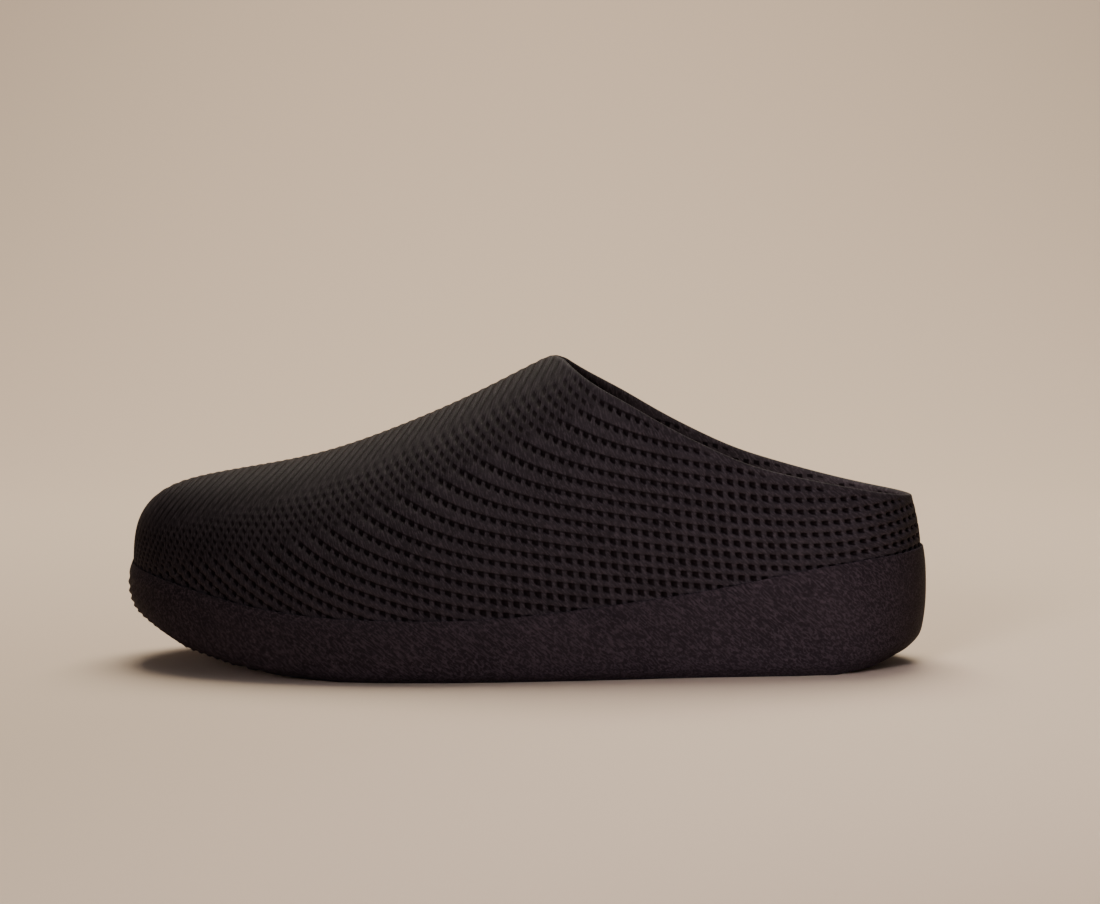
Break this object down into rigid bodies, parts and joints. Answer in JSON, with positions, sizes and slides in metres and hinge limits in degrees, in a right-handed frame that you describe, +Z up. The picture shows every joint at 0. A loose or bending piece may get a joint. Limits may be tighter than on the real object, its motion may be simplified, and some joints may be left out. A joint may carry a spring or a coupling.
{
  "type": "slip-on shoe",
  "caption": "Left slip-on clog shoe with a round closed toe, low open-back collar, hollow waffle-textured upper, footbed and a thick sole with toe spring.",
  "frame": {"origin": "on the floor, under the middle of the bounding box", "axes": "+X from toe to heel, +Y to the medial side, +Z up"},
  "size_m": [0.285, 0.1046, 0.1092],
  "materials": {
    "sole": "matte, fine grained",
    "upper": "matte waffle texture",
    "insole": "matte foam"
  },
  "bodies": {
    "root": {"sole": "sole", "upper": "upper", "insole": "insole"}
  },
  "joints": []
}
